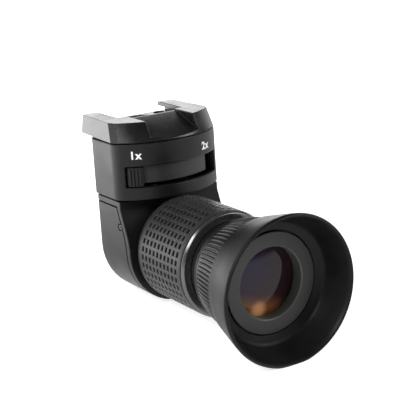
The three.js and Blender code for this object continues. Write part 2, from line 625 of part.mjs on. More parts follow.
const CUP_OUTER = [
  [CUP_REAR_RADIUS - 0.5, CUP_REAR_Y + 0.3],
  [CUP_REAR_RADIUS, CUP_REAR_Y - 0.3],
  [19.5, -67.6],
  [20.9, -72.6],
  [RIM_RADIUS, -75.5],
];
const CUP_FLAT_START_Y = -72.6;
const cupInner = [
  [RIM_RADIUS - 0.7, RIM_Y],
  [20.2, -75.2],
  [18.9, -70.5],
  [17.6, -67.2],
  [SURROUND_OUTER + 0.35, -66.3],
  [SURROUND_OUTER + 0.35, BARREL_FRONT_Y],
  [CUP_SEAT + GAP, BARREL_FRONT_Y],
  [CUP_SEAT + GAP, CUP_REAR_Y + 0.3],
];
const eyecup = turnedY([...CUP_OUTER, ...cupInner], 48);
const cupPoints = eyecup.attributes.position;
for (let i = 0; i < cupPoints.count; i += 1) {
  cupPoints.setZ(i, Math.max(cupPoints.getZ(i), RIM_FLAT_Z));
}
add('eyecup', eyecup, blackRubber);

// Standing: the elbow's rounded back edge and the flattened eyecup rim touch the table together.
const archY = ELBOW_BACK_Y - ELBOW_BACK_RADIUS;
const archZ = ELBOW_FLAT_Z + ELBOW_BACK_RADIUS;
const run = archY - CUP_FLAT_START_Y;
const rise = archZ - RIM_FLAT_Z;
const STAND_TILT = Math.atan2(rise, run) - Math.asin(ELBOW_BACK_RADIUS / Math.hypot(run, rise));
model.rotation.x = -STAND_TILT;

const part = new THREE.Group();
part.add(model);
part.updateMatrixWorld(true);
const bounds = new THREE.Box3().setFromObject(part, true);
model.position.set(0, -(bounds.min.y + bounds.max.y) / 2, -bounds.min.z);

export default part;
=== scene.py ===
import json
from math import atan2, cos, pi, radians, sin

import bmesh
import bpy
from mathutils import Euler, Matrix, Vector


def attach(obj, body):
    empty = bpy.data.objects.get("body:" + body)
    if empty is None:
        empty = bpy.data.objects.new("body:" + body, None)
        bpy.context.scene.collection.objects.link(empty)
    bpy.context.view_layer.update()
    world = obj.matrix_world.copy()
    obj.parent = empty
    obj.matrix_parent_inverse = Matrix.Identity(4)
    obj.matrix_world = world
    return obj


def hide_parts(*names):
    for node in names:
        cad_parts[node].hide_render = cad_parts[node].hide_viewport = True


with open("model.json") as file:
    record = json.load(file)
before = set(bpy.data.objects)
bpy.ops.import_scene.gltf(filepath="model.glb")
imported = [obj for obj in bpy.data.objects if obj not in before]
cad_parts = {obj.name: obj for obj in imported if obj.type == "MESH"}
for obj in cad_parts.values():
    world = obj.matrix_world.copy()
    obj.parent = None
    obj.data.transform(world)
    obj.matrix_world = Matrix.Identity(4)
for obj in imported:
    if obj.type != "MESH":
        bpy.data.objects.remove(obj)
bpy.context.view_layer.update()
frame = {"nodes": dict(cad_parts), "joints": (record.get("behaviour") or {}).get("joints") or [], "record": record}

# The optical axes.
# Every piece is drawn in millimetres about the point where the upright optical axis (Z) meets the
# eyepiece's axis (Y). The swivel's hinge says where that is, and how far the object leans back.
joints = {joint["name"]: joint for joint in frame["joints"]}
optical_centre = Vector(joints["head_swivel"]["pos_m"])
upright = Vector(joints["head_swivel"]["axis"]).normalized()
stand_tilt = atan2(upright.y, upright.z)
millimetre = 0.001
place = (Matrix.Translation(optical_centre) @ Matrix.Rotation(-stand_tilt, 4, "X")
         @ Matrix.Scale(millimetre, 4))

# The camera stands to the left of the eyepiece, a little above it, and looks up the tube. Its long
# lens keeps the perspective mild.
camera_data = bpy.data.cameras.new("camera")
camera_data.sensor_width = 36.0
camera_data.lens = 107.2
camera_data.clip_start = 0.01
camera_data.clip_end = 20.0
camera = bpy.data.objects.new("camera", camera_data)
camera.location = (-0.17708, -0.28057, 0.14498)
camera.rotation_euler = Euler([radians(angle) for angle in (71.7416, 1.6465, -32.6846)])
bpy.context.scene.collection.objects.link(camera)
bpy.context.scene.camera = camera
bpy.context.scene.view_settings.view_transform = "Standard"


# The floor and the studio.
# A white card that glows, more so at the back, under a tent that is bright only low down behind
# the object, with two soft lamps, one on each side.
card_glow = 0.75
card_back_glow = 5.2
tent_front = 0.10
tent_back = 2.3
floor_reach = 3.0
lamp_size = 0.4
lamp_aim = (0, 0, 0.03)


class Field:
    """One output of a node; sums on it add Math nodes."""

    def __init__(self, tree, socket):
        self.tree = tree
        self.socket = socket

    def math(self, operation, *others):
        return calculated(self.tree, operation, self, *others)

    def __add__(self, other):
        return self.math("ADD", other)

    def __sub__(self, other):
        return self.math("SUBTRACT", other)

    def __mul__(self, other):
        return self.math("MULTIPLY", other)

    def __truediv__(self, other):
        return self.math("DIVIDE", other)

    def __radd__(self, other):
        return calculated(self.tree, "ADD", other, self)

    def __rsub__(self, other):
        return calculated(self.tree, "SUBTRACT", other, self)

    def __rmul__(self, other):
        return calculated(self.tree, "MULTIPLY", other, self)


def calculated(tree, operation, *values):
    return make(tree, "ShaderNodeMath", {"operation": operation}, dict(enumerate(values)))


def make(tree, kind, settings=None, inputs=None, output=0):
    """Adds a node: its settings first, then the values or links of its sockets."""
    node = tree.nodes.new(kind)
    for key, value in (settings or {}).items():
        setattr(node, key, value)
    for key, value in (inputs or {}).items():
        if isinstance(value, Field):
            tree.links.new(value.socket, node.inputs[key])
        else:
            node.inputs[key].default_value = value
    return Field(tree, node.outputs[output])


def blended(factor, first, second):
    """A colour between two others."""
    inputs = {0: factor, 6: (*first, 1.0) if isinstance(first, tuple) else first,
              7: (*second, 1.0) if isinstance(second, tuple) else second}
    colour_output = 2
    return make(factor.tree, "ShaderNodeMix", {"data_type": "RGBA"}, inputs, output=colour_output)


def ramped(value, low, high):
    """0 below low, 1 above high."""
    return make(value.tree, "ShaderNodeMapRange", {"interpolation_type": "SMOOTHSTEP"},
                {"Value": value, "From Min": low, "From Max": high})


def feed(shader, label, field):
    shader.id_data.links.new(field.socket, shader.inputs[label])


def parts_of(spot):
    """The X, Y and Z of a place or a direction."""
    node = spot.tree.nodes.new("ShaderNodeSeparateXYZ")
    spot.tree.links.new(spot.socket, node.inputs[0])
    return [Field(spot.tree, socket) for socket in node.outputs]


def stage_floor():
    mesh = bpy.data.meshes.new("floor")
    corners = [(x * floor_reach, y * floor_reach, 0) for x, y in ((-1, -1), (1, -1), (1, 1), (-1, 1))]
    mesh.from_pydata(corners, [], [(0, 1, 2, 3)])
    floor = bpy.data.objects.new("floor", mesh)
    bpy.context.scene.collection.objects.link(floor)
    material = bpy.data.materials.new("white_card")
    material.use_nodes = True
    tree = material.node_tree
    card = tree.nodes["Principled BSDF"]
    card.inputs["Base Color"].default_value = (0.7, 0.7, 0.7, 1)
    card.inputs["Roughness"].default_value = 0.7
    card.inputs["Emission Strength"].default_value = 1.0
    x, y, z = parts_of(make(tree, "ShaderNodeTexCoord", output="Object"))
    back = ramped(y - x * 0.4, 0.05, 0.30)
    feed(card, "Emission Color", blended(back, (card_glow,) * 3, (card_back_glow,) * 3))
    mesh.materials.append(material)


def lamp(name, location, power):
    data = bpy.data.lights.new(name, "AREA")
    data.shape = "DISK"
    data.size = lamp_size
    data.energy = power
    light = bpy.data.objects.new(name, data)
    light.location = location
    light.rotation_euler = (Vector(lamp_aim) - Vector(location)).to_track_quat("-Z", "Y").to_euler()
    bpy.context.scene.collection.objects.link(light)


def light_tent():
    """Bright low down behind the object, and dark overhead and in front."""
    world = bpy.data.worlds.new("light_tent")
    world.use_nodes = True
    tree = world.node_tree
    x, y, z = parts_of(make(tree, "ShaderNodeTexCoord", output="Generated"))
    low = 1 - ramped(z, 0.22, 0.48)
    behind = ramped(y, -0.25, 0.35)
    strength = tent_front + low * behind * tent_back
    background = tree.nodes["Background"]
    background.inputs["Color"].default_value = (1.0, 1.0, 1.0, 1)
    tree.links.new(strength.socket, background.inputs["Strength"])
    bpy.context.scene.world = world


stage_floor()
light_tent()
lamp("key", (-0.60, -0.20, 0.60), 5.0)
lamp("fill", (0.55, -0.40, 0.45), 3.0)


# The head: a satin black moulded box with the selector's slot in its curved front.
# It is moulded in one piece with thin walls; its mould edges are slightly rounded.
def new_material(name, **constants):
    """A material with one Principled shader, and the place on the piece in the optical frame."""
    material = bpy.data.materials.new(name)
    material.use_nodes = True
    tree = material.node_tree
    tree.nodes.clear()
    output = tree.nodes.new("ShaderNodeOutputMaterial")
    shader = tree.nodes.new("ShaderNodeBsdfPrincipled")
    tree.links.new(shader.outputs[0], output.inputs[0])
    for label, value in constants.items():
        shader.inputs[label.replace("_", " ")].default_value = value
    spot = make(tree, "ShaderNodeTexCoord", output="Object")
    spot = make(tree, "ShaderNodeMapping", {"vector_type": "TEXTURE"},
                {"Vector": spot, "Location": optical_centre, "Rotation": (-stand_tilt, 0, 0),
                 "Scale": (millimetre,) * 3})
    return material, shader, spot


def noise(spot, size, detail=2.0, roughness=0.5):
    """Noise whose patches are about this many millimetres across."""
    return make(spot.tree, "ShaderNodeTexNoise", {},
                {"Vector": spot, "Scale": 1 / size, "Detail": detail, "Roughness": roughness})


def bumped(height, depth, strength=1.0):
    return make(height.tree, "ShaderNodeBump", {},
                {"Strength": strength, "Distance": depth * millimetre, "Height": height})


def moulded(name, colour, roughness, grain, depth, dust=0.25, shade=None, **constants):
    """Black moulding: a fine grain, cloudy patches where it was handled, and specks of dust.
    shade gives how much of a place's colour is painted shade, for hollows."""
    material, shader, spot = new_material(name, **constants)
    cloud = ramped(noise(spot, 9.0, 3.0), 0.3, 0.7)
    fine = noise(spot, grain, 3.0, 0.6)
    specks = ramped(noise(spot, 0.5, 1.0), 0.74, 0.80) * dust
    lighter = tuple(1.5 * part + 0.003 for part in colour)
    tone = blended(cloud * 0.6 + fine * 0.4, colour, lighter)
    # Painted shade: where shade picks out a hollow, the colour is painted nearly black.
    if shade:
        tone = blended(shade(spot), tone, (0.002, 0.002, 0.002))
    feed(shader, "Base Color", blended(specks, tone, (0.12, 0.12, 0.125)))
    feed(shader, "Roughness", roughness + (cloud - 0.5) * 0.10 + (fine - 0.5) * 0.12)
    feed(shader, "Normal", bumped(fine, depth))
    return material


def show(name, mesh, material, body, slot, *nodes):
    """Makes a finished mesh a piece of the object that stands for CAD nodes."""
    piece = bpy.data.objects.new(name, mesh)
    bpy.context.scene.collection.objects.link(piece)
    if material is not None:
        mesh.materials.clear()
        mesh.materials.append(material)
    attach(piece, body)
    if nodes:
        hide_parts(*nodes)
    return piece


def smooth(mesh, angle=32):
    mesh.polygons.foreach_set("use_smooth", [True] * len(mesh.polygons))
    mesh.set_sharp_from_angle(angle=radians(angle))


def plain(piece):
    """The piece's evaluated mesh; the piece itself is taken away."""
    bpy.context.view_layer.update()
    graph = bpy.context.evaluated_depsgraph_get()
    mesh = bpy.data.meshes.new_from_object(piece.evaluated_get(graph), depsgraph=graph)
    bpy.data.objects.remove(piece)
    return mesh


def rounded_edges(mesh, width, segments=3, angle=24):
    """A copy of a mesh in metres with every sharp edge rounded; width is in millimetres."""
    piece = bpy.data.objects.new("rounding", mesh)
    bpy.context.scene.collection.objects.link(piece)
    bevel = piece.modifiers.new("edges", "BEVEL")
    bevel.limit_method = "ANGLE"
    bevel.angle_limit = radians(angle)
    bevel.width = width * millimetre
    bevel.segments = segments
    bevel.use_clamp_overlap = False
    bevel.harden_normals = True
    smooth(mesh, 60)
    return plain(piece)


def merged_solid(node):
    """A CAD solid's own surface with its split corners merged and its flat faces joined."""
    edit = bmesh.new()
    edit.from_mesh(frame["nodes"][node].data)
    bmesh.ops.remove_doubles(edit, verts=edit.verts, dist=1e-6)
    bmesh.ops.dissolve_limit(edit, angle_limit=radians(0.5), verts=edit.verts, edges=edit.edges)
    edit.verts.index_update()
    mesh = bpy.data.meshes.new(node)
    mesh.from_pydata([corner.co[:] for corner in edit.verts], [],
                     [[corner.index for corner in face.verts] for face in edit.faces])
    edit.free()
    return mesh


head_edge = 0.35
satin_black = moulded("satin_black", (0.005, 0.005, 0.0055), 0.40, 0.16, 0.010, dust=0.15,
                      Specular_IOR_Level=0.25)
show("head_shell", rounded_edges(merged_solid("head_housing"), head_edge), satin_black,
     "head", "satin_black", "head_housing")


# The slot guide: a thin satin strip behind the selector's slot, glued inside the front wall.
# It is the recessed band that the knob runs along.
band_satin = moulded("band_satin", (0.016, 0.016, 0.0165), 0.5, 0.16, 0.010, dust=0.15,
                     Specular_IOR_Level=0.4)
show("slot_band", rounded_edges(merged_solid("slot_guide"), 0.12), band_satin,
     "head", "satin_black", "slot_guide")


# The selector's marks: white figures printed above the two ends of the slot.
# They are thin prints that follow the curve of the head's front.
head_arc_radius = 24.6
head_arc_centre = 2.6
mark_size = 3.3
mark_thickness = 0.06
# Each mark has its piece's name, its text, its angle round the front in degrees, and its height.
marks = [("mark_1x", "1x", -32.0, 30.2), ("mark_2x", "2x", 25.5, 29.6)]


def printed_mark(text, angle, height):
    """Text as a mesh, bent round the head's front at this angle and height."""
    curve = bpy.data.curves.new("mark", "FONT")
    curve.body = text
    curve.size = mark_size
    curve.offset = 0.03 * mark_size
    curve.extrude = mark_thickness / 2
    curve.space_character = 1.12
    curve.align_x = "CENTER"
    curve.align_y = "CENTER"
    curve.resolution_u = 6
    piece = bpy.data.objects.new("mark", curve)
    bpy.context.scene.collection.objects.link(piece)
    mesh = plain(piece)
    for corner in mesh.vertices:
        across, up, out = corner.co
        turn = radians(angle) + across / head_arc_radius
        radius = head_arc_radius + mark_thickness / 2 + out - 0.02
        corner.co = (radius * sin(turn), head_arc_centre - radius * cos(turn), height + up)
    mesh.transform(place)
    return mesh


mark_white, mark_shader, mark_spot = new_material("printed_white")
feed(mark_shader, "Base Color", blended(noise(mark_spot, 0.4), (0.88, 0.88, 0.88), (0.97, 0.97, 0.96)))
feed(mark_shader, "Roughness", 0.45 + noise(mark_spot, 0.2) * 0.2)
for mark_name, text, angle, height in marks:
    show(mark_name, printed_mark(text, angle, height), mark_white, "head", "satin_black")


# The mount: the smoother, glossier top moulding that hooks on a camera's eyepiece frame.
# Its rails and stops are moulded with it, and four screws hold it on the head from above.
gloss_black = moulded("gloss_black", (0.006, 0.006, 0.006), 0.24, 0.5, 0.005, dust=0.1,
                      Specular_IOR_Level=0.3)
show("mount_moulding", rounded_edges(merged_solid("mount_frame"), 0.18), gloss_black,
     "head", "gloss_black", "mount_frame")


# The knob: a satin thumb piece that slides in the slot, with four upright ribs for the thumb.
# The ribs are moulded on its curved face.
def geometry_tree(name, inputs):
    """A geometry tree with named inputs; returns it and its inputs' fields."""
    tree = bpy.data.node_groups.new(name, "GeometryNodeTree")
    tree.interface.new_socket("Geometry", in_out="INPUT", socket_type="NodeSocketGeometry")
    for label, kind in inputs.items():
        tree.interface.new_socket(label, in_out="INPUT", socket_type="NodeSocket" + kind)
    tree.interface.new_socket("Geometry", in_out="OUTPUT", socket_type="NodeSocketGeometry")
    source = tree.nodes.new("NodeGroupInput")
    return tree, {socket.name: Field(tree, socket) for socket in source.outputs if socket.name}


def close_tree(tree, geometry, material):
    """Ends a geometry tree in Realize Instances and Set Material."""
    real = make(tree, "GeometryNodeRealizeInstances", {}, {"Geometry": geometry})
    done = make(tree, "GeometryNodeSetMaterial", {}, {"Geometry": real, "Material": material})
    end = tree.nodes.new("NodeGroupOutput")
    tree.links.new(done.socket, end.inputs[0])


def combined(tree, x, y, z):
    return make(tree, "ShaderNodeCombineXYZ", {}, {0: x, 1: y, 2: z})


def ring_tree():
    """Copies the piece round the Y axis, in Around places and Along rows."""
    tree, given = geometry_tree("copies_round_a_ring", {
        "Around": "Int", "Along": "Int", "First Angle": "Float", "Angle Step": "Float",
        "Radius": "Float", "First": "Float", "Pitch": "Float", "Material": "Material"})
    number = make(tree, "GeometryNodeInputIndex")
    turn = given["First Angle"] + given["Angle Step"] * (number / given["Along"]).math("FLOOR")
    row = number.math("FLOORED_MODULO", given["Along"])
    spot = combined(tree, given["Radius"] * turn.math("SINE"),
                    given["First"] + given["Pitch"] * row,
                    given["Radius"] * turn.math("COSINE"))
    points = make(tree, "GeometryNodePoints", {},
                  {"Count": given["Around"] * given["Along"], "Position": spot})
    copies = make(tree, "GeometryNodeInstanceOnPoints", {},
                  {"Points": points, "Instance": given["Geometry"],
                   "Rotation": combined(tree, 0.0, turn, 0.0)})
    close_tree(tree, copies, given["Material"])
    return tree


def grown(mesh, tree, **values):
    """Runs a geometry tree on a mesh and returns the result as a plain mesh."""
    piece = bpy.data.objects.new("growing", mesh)
    bpy.context.scene.collection.objects.link(piece)
    modifier = piece.modifiers.new("grow", "NODES")
    modifier.node_group = tree
    for socket in tree.interface.items_tree:
        key = socket.name.replace(" ", "_")
        if socket.in_out == "INPUT" and key in values:
            modifier[socket.identifier] = values[key]
    return plain(piece)


def block(across, along, low, high, edge, taper):
    """A small rounded block: X across, Y along, Z out; its top is narrower by taper."""
    edit = bmesh.new()
    bmesh.ops.create_cube(edit, size=1.0)
    for corner in edit.verts:
        share = taper if corner.co.z > 0 else 1.0
        corner.co = Vector((corner.co.x * across * share, corner.co.y * (along - across * (1 - share)),
                            high if corner.co.z > 0 else low))
    upper = [side for side in edit.edges if max(corner.co.z for corner in side.verts) > (low + high) / 2]
    bmesh.ops.bevel(edit, geom=upper, offset=edge, segments=2, affect="EDGES", profile=0.5)
    mesh = bpy.data.meshes.new("block")
    edit.to_mesh(mesh)
    edit.free()
    smooth(mesh, 50)
    return mesh


copies_round_a_ring = ring_tree()
knob_ribs = 4
knob_rib_step = radians(2.6)
knob_face_radius = 22.4
knob_centre_angle = radians(-36.4)
slot_middle_z = 23.6
knob_rib = block(across=0.58, along=5.6, low=-0.4, high=0.42, edge=0.16, taper=0.8)
rib_mesh = grown(knob_rib, copies_round_a_ring, Around=knob_ribs, Along=1,
                 First_Angle=knob_centre_angle - knob_rib_step * (knob_ribs - 1) / 2,
                 Angle_Step=knob_rib_step, Radius=knob_face_radius, First=slot_middle_z, Pitch=0.0,
                 Material=satin_black)
rib_mesh.transform(place @ Matrix.Rotation(pi / 2, 4, "X"))
show("knob_ribs", rib_mesh, satin_black, "selector", "satin_black")
show("knob", rounded_edges(merged_solid("selector_knob"), 0.25), satin_black,
     "selector", "satin_black", "selector_knob")


# The elbow: the prism housing's frame and its two side covers, in the head's satin plastic.
# The covers are parted behind the frame's front edge, and one small screw holds each at the front.
show("elbow_collar", rounded_edges(merged_solid("elbow_frame"), 0.3), satin_black,
     "elbow", "satin_black", "elbow_frame")
for side in ("left", "right"):
    show(f"elbow_cover_{side}", rounded_edges(merged_solid(f"cover_{side}"), 0.25), satin_black,
         "elbow", "satin_black", f"cover_{side}")


# The seam's seal: a thin strip of black rubber that fills the joint between the two covers.
# It is cut to the outline of the covers' walls and lies a little below their outer face.
seal_inset = 0.97
seal_half_width = 0.14
seal_centre = Vector((0, -4.0, -2.0))
seam_side = -0.15


def seam_seal():
    """The left cover's wall section at the seam, drawn in a little and made as thick as the seam."""
    wall = merged_solid("cover_left")
    wall.transform(place.inverted())
    edit = bmesh.new()
    for face in wall.polygons:
        if abs(face.center.x - seam_side) < 0.02 and face.normal.x > 0.9:
            corners = [wall.vertices[i].co for i in face.vertices]
            points = [seal_centre + (corner - seal_centre) * seal_inset for corner in corners]
            section = edit.faces.new([edit.verts.new((seal_half_width, p.y, p.z)) for p in points])
            section.normal_update()
            drawn = bmesh.ops.extrude_face_region(edit, geom=[section], use_keep_orig=True)
            moved = [item for item in drawn["geom"] if isinstance(item, bmesh.types.BMVert)]
            bmesh.ops.translate(edit, verts=moved, vec=(-2 * seal_half_width, 0, 0))
    bmesh.ops.remove_doubles(edit, verts=edit.verts, dist=1e-4)
    bmesh.ops.recalc_face_normals(edit, faces=edit.faces)
    mesh = bpy.data.meshes.new("seam_seal")
    edit.to_mesh(mesh)
    edit.free()
    mesh.transform(place)
    return mesh


seal_rubber = moulded("seal_rubber", (0.006, 0.006, 0.006), 0.6, 0.3, 0.01)
show("seam_seal", seam_seal(), seal_rubber, "elbow", "satin_black")


# The screws that show: four in the mount's channel, and one in each cover near its front edge.
# They are small blackened steel screws with a cross recess, turned and then pressed.
def stock(name, colour, roughness, metallic):
    """Plain worked stock with a drawn grain and faint stains."""
    material, shader, spot = new_material(name, Metallic=metallic)
    grain = noise(spot, 0.12, 3.0)
    stain = ramped(noise(spot, 2.5, 3.0), 0.35, 0.75)
    darker = tuple(0.6 * part for part in colour)
    feed(shader, "Base Color", blended(stain * 0.6 + grain * 0.4, colour, darker))
    feed(shader, "Roughness", roughness + (grain - 0.5) * 0.2)
    feed(shader, "Normal", bumped(grain, 0.006))
    return material


def crossed(mesh, head, axis, length, width, depth):
    """Cuts a cross recess into a screw's head; head is the centre of its top, along axis."""
    piece = bpy.data.objects.new("screw", mesh)
    bpy.context.scene.collection.objects.link(piece)
    cutters = []
    for bar in (0, 1):
        size = [length, width] if bar else [width, length]
        size.insert("XYZ".index(axis), 2 * depth)
        edit = bmesh.new()
        bmesh.ops.create_cube(edit, size=1.0, matrix=place @ Matrix.Translation(head)
                              @ Matrix.Diagonal((*size, 1)))
        bar_mesh = bpy.data.meshes.new("bar")
        edit.to_mesh(bar_mesh)
        edit.free()
        cutter = bpy.data.objects.new("bar", bar_mesh)
        bpy.context.scene.collection.objects.link(cutter)
        cutters.append(cutter)
        cut = piece.modifiers.new("bar", "BOOLEAN")
        cut.operation = "DIFFERENCE"
        cut.solver = "EXACT"
        cut.object = cutter
    result = plain(piece)
    for cutter in cutters:
        bpy.data.objects.remove(cutter)
    smooth(result, 30)
    return result


blackened_screw = stock("blackened_screw", (0.10, 0.10, 0.105), 0.32, 0.9)
mount_screw_places = [(x, y) for x in (-9.6, 9.6) for y in (-4.6, 5.2)]
mount_screw_top = 36.3
mount_recess = {"length": 1.7, "width": 0.4, "depth": 0.45}
for number, (x, y) in enumerate(mount_screw_places, 1):
    screw = rounded_edges(merged_solid(f"mount_screw_{number}"), 0.12, 2)
    show(f"mount_screw_head_{number}",
         crossed(screw, (x, y, mount_screw_top), "Z", **mount_recess), blackened_screw,
         "head", "blackened_screw", f"mount_screw_{number}")
cover_screw_y = -13.3
cover_screw_z = 8.0
cover_screw_top = 17.35
cover_recess = {"length": 1.05, "width": 0.28, "depth": 0.35}
for number, side in ((1, -1), (2, 1)):
    screw = rounded_edges(merged_solid(f"cover_screw_{number}"), 0.08, 2)
    show(f"cover_screw_head_{number}",
         crossed(screw, (side * cover_screw_top, cover_screw_y, cover_screw_z), "X", **cover_recess),
         blackened_screw, "elbow", "blackened_screw", f"cover_screw_{number}")


# The tube's turned pieces: collar, ring edges and barrel, black anodised and smooth.
# They are turned from aluminium, and fine rings left by the tool show in the light.
def filleted(profile, steps=4):
    """A closed outline of (radius, y, fillet) corners, with each corner rounded by its fillet."""
    points = []
    count = len(profile)
    for i, (radius, y, fillet) in enumerate(profile):
        corner = Vector((radius, y))
        before = Vector(profile[i - 1][:2]) - corner
        after = Vector(profile[(i + 1) % count][:2]) - corner
        if fillet <= 0:
            points.append(corner)
            continue
        reach = min(fillet, 0.45 * before.length, 0.45 * after.length)
        start = corner + before.normalized() * reach
        end = corner + after.normalized() * reach
        for k in range(steps + 1):
            t = k / steps
            points.append(start * (1 - t) ** 2 + corner * 2 * t * (1 - t) + end * t ** 2)
    return points


def turned(name, profile, segments=128, shape=None, upright=False):
    """A closed outline turned about the eyepiece axis, or the upright one; shape may press each point."""
    outline = filleted(profile)
    edit = bmesh.new()
    rings = []
    for k in range(segments):
        angle = 2 * pi * k / segments
        ring = [Vector((p.x * sin(angle), p.y, p.x * cos(angle))) for p in outline]
        rings.append([edit.verts.new(shape(point) if shape else point) for point in ring])
    count = len(outline)
    for k in range(segments):
        here, there = rings[k], rings[(k + 1) % segments]
        for i in range(count):
            j = (i + 1) % count
            edit.faces.new((here[i], here[j], there[j], there[i]))
    bmesh.ops.remove_doubles(edit, verts=edit.verts, dist=1e-5)
    bmesh.ops.dissolve_degenerate(edit, dist=1e-5, edges=edit.edges)
    bmesh.ops.recalc_face_normals(edit, faces=edit.faces)
    mesh = bpy.data.meshes.new(name)
    edit.to_mesh(mesh)
    edit.free()
    mesh.transform(place @ Matrix.Rotation(pi / 2, 4, "X") if upright else place)
    smooth(mesh, 38)
    return mesh


def anodised(name, colour, roughness, rings, metallic=0.0, **constants):
    """Dark turned metal with rings across its axis."""
    material, shader, spot = new_material(name, Metallic=metallic, **constants)
    x, y, z = parts_of(spot)
    lines = make(shader.id_data, "ShaderNodeTexNoise", {},
                 {"Vector": combined(shader.id_data, x * 0.02, y * 6.0, z * 0.02), "Scale": 1.0,
                  "Detail": 3.0})
    cloud = ramped(noise(spot, 7.0, 3.0), 0.3, 0.7)
    lighter = tuple(1.8 * part + 0.004 for part in colour)
    feed(shader, "Base Color", blended(lines * 0.5 + cloud * 0.4, colour, lighter))
    feed(shader, "Roughness", roughness + (lines - 0.5) * 0.18 + (cloud - 0.5) * 0.08)
    feed(shader, "Normal", bumped(lines, rings))
    return material


dark_anodised = anodised("dark_anodised", (0.006, 0.006, 0.0065), 0.42, 0.010)
trim_black = anodised("trim_black", (0.09, 0.09, 0.092), 0.24, 0.012, metallic=0.8)
grip_rear = -20.7
grip_front = -44.6
grip_radius = 16.1
show("collar_tube", turned("collar_tube", [
    (10.6, -16.0, 0), (11.8, -16.0, 0.1), (11.8, -18.8, 0.1), (15.2, -18.8, 0.4), (15.2, -20.3, 0.2),
    (11.8, -20.3, 0.1), (11.8, -46.5, 0.2), (10.6, -46.5, 0.1)]), dark_anodised,
     "elbow", "black_metal", "inner_tube")
show("polished_trim", turned("polished_trim", [
    (13.3, -44.9, 0), (15.9, -44.9, 0.15), (16.0, -45.15, 0.1), (15.4, -45.9, 0.2), (13.3, -45.9, 0)],
    160), trim_black, "dioptre", "gloss_black", "trim_ring")
show("sliding_barrel", turned("sliding_barrel", [
    (12.1, -30.0, 0), (13.0, -30.0, 0.1), (13.0, -64.9, 0.1), (11.3, -64.9, 0), (11.3, -50.0, 0),
    (12.1, -49.2, 0)]), dark_anodised, "eyepiece", "black_metal", "eyepiece_barrel")


# The grip: a black rubber sleeve on the dioptre ring, moulded with rows of small pockets.
# The rows run along the tube between smooth ribs, and a smooth band is left at each end.
pocket_rows = 40
pocket_columns = 10
pocket_pitch = 2.06
pocket_share_along = 0.5
pocket_share_across = 0.62
pocket_first = grip_rear - 2.3
pocket_depth = 0.6
pocket_taper = 0.7


def pocket_sleeve_form():
    """The sleeve before its pockets are pressed in; the faces that they start from are marked."""
    outline = [(14.9, grip_rear, False), (grip_radius - 0.35, grip_rear, False),
               (grip_radius - 0.08, grip_rear - 0.12, False), (grip_radius, grip_rear - 0.4, False)]
    for column in range(pocket_columns):
        start = pocket_first - pocket_pitch * column
        outline.append((grip_radius, start, True))
        outline.append((grip_radius, start - pocket_pitch * pocket_share_along, False))
    outline += [(grip_radius, grip_front + 0.4, False), (grip_radius - 0.08, grip_front + 0.12, False),
                (grip_radius - 0.35, grip_front, False), (14.9, grip_front, False)]
    edit = bmesh.new()
    marked = edit.faces.layers.int.new("pocket")
    rings = []
    for k in range(2 * pocket_rows):
        turn = (k // 2 + (k % 2) * pocket_share_across) * 2 * pi / pocket_rows
        rings.append([edit.verts.new((r * sin(turn), y, r * cos(turn))) for r, y, _ in outline])
    for k in range(2 * pocket_rows):
        here, there = rings[k], rings[(k + 1) % (2 * pocket_rows)]
        for i in range(len(outline)):
            j = (i + 1) % len(outline)
            face = edit.faces.new((here[i], here[j], there[j], there[i]))
            face[marked] = int(outline[i][2] and k % 2 == 0)
    bmesh.ops.recalc_face_normals(edit, faces=edit.faces)
    mesh = bpy.data.meshes.new("grip_form")
    edit.to_mesh(mesh)
    edit.free()
    return mesh


def pocket_tree():
    """Presses each marked face in by Depth and narrows its floor by Taper."""
    tree, given = geometry_tree("pressed_pockets", {
        "Depth": "Float", "Taper": "Float", "Material": "Material"})
    marked = make(tree, "GeometryNodeInputNamedAttribute", {"data_type": "INT"}, {"Name": "pocket"})
    node = tree.nodes.new("GeometryNodeExtrudeMesh")
    node.mode = "FACES"
    tree.links.new(given["Geometry"].socket, node.inputs["Mesh"])
    tree.links.new(marked.socket, node.inputs["Selection"])
    tree.links.new((0.0 - given["Depth"]).socket, node.inputs["Offset Scale"])
    node.inputs["Individual"].default_value = True
    narrowed = make(tree, "GeometryNodeScaleElements", {"domain": "FACE"},
                    {"Geometry": Field(tree, node.outputs["Mesh"]),
                     "Selection": Field(tree, node.outputs["Top"]), "Scale": given["Taper"]})
    close_tree(tree, narrowed, given["Material"])
    return tree


def painted_pocket_shade(spot):
    """Painted shade: 1 on the pockets' floors, which are painted darker."""
    x, y, z = parts_of(spot)
    return 1 - ramped((x * x + z * z).math("SQRT"), grip_radius - pocket_depth, grip_radius - 0.12)


# The grip's pockets have painted shade on their floors.
grip_rubber = moulded("grip_rubber", (0.022, 0.022, 0.0235), 0.45, 0.22, 0.02, dust=0.3,
                      shade=painted_pocket_shade, Specular_IOR_Level=0.3)
grip_mesh = grown(pocket_sleeve_form(), pocket_tree(), Depth=pocket_depth, Taper=pocket_taper,
                  Material=grip_rubber)
grip_mesh.transform(place)
grip_mesh = rounded_edges(grip_mesh, 0.12, 1, 40)
show("grip_sleeve", grip_mesh, grip_rubber, "dioptre", "grip_rubber", "rubber_grip")


# The eyecup's ring: a satin cone with fine upright flutes for the fingers, turning on the barrel.
# The flutes are moulded ridges that start behind a thin rim and run out before the cup.
ring_rear = -50.4
ring_front = -61.6
ring_rear_radius = 14.8
ring_front_radius = 17.0
ring_slope = (ring_front_radius - ring_rear_radius) / (ring_rear - ring_front)
flutes = 80
flute_start = 1.1
flute_length = 10.0
flute_width = 0.85
flute_height = 0.55


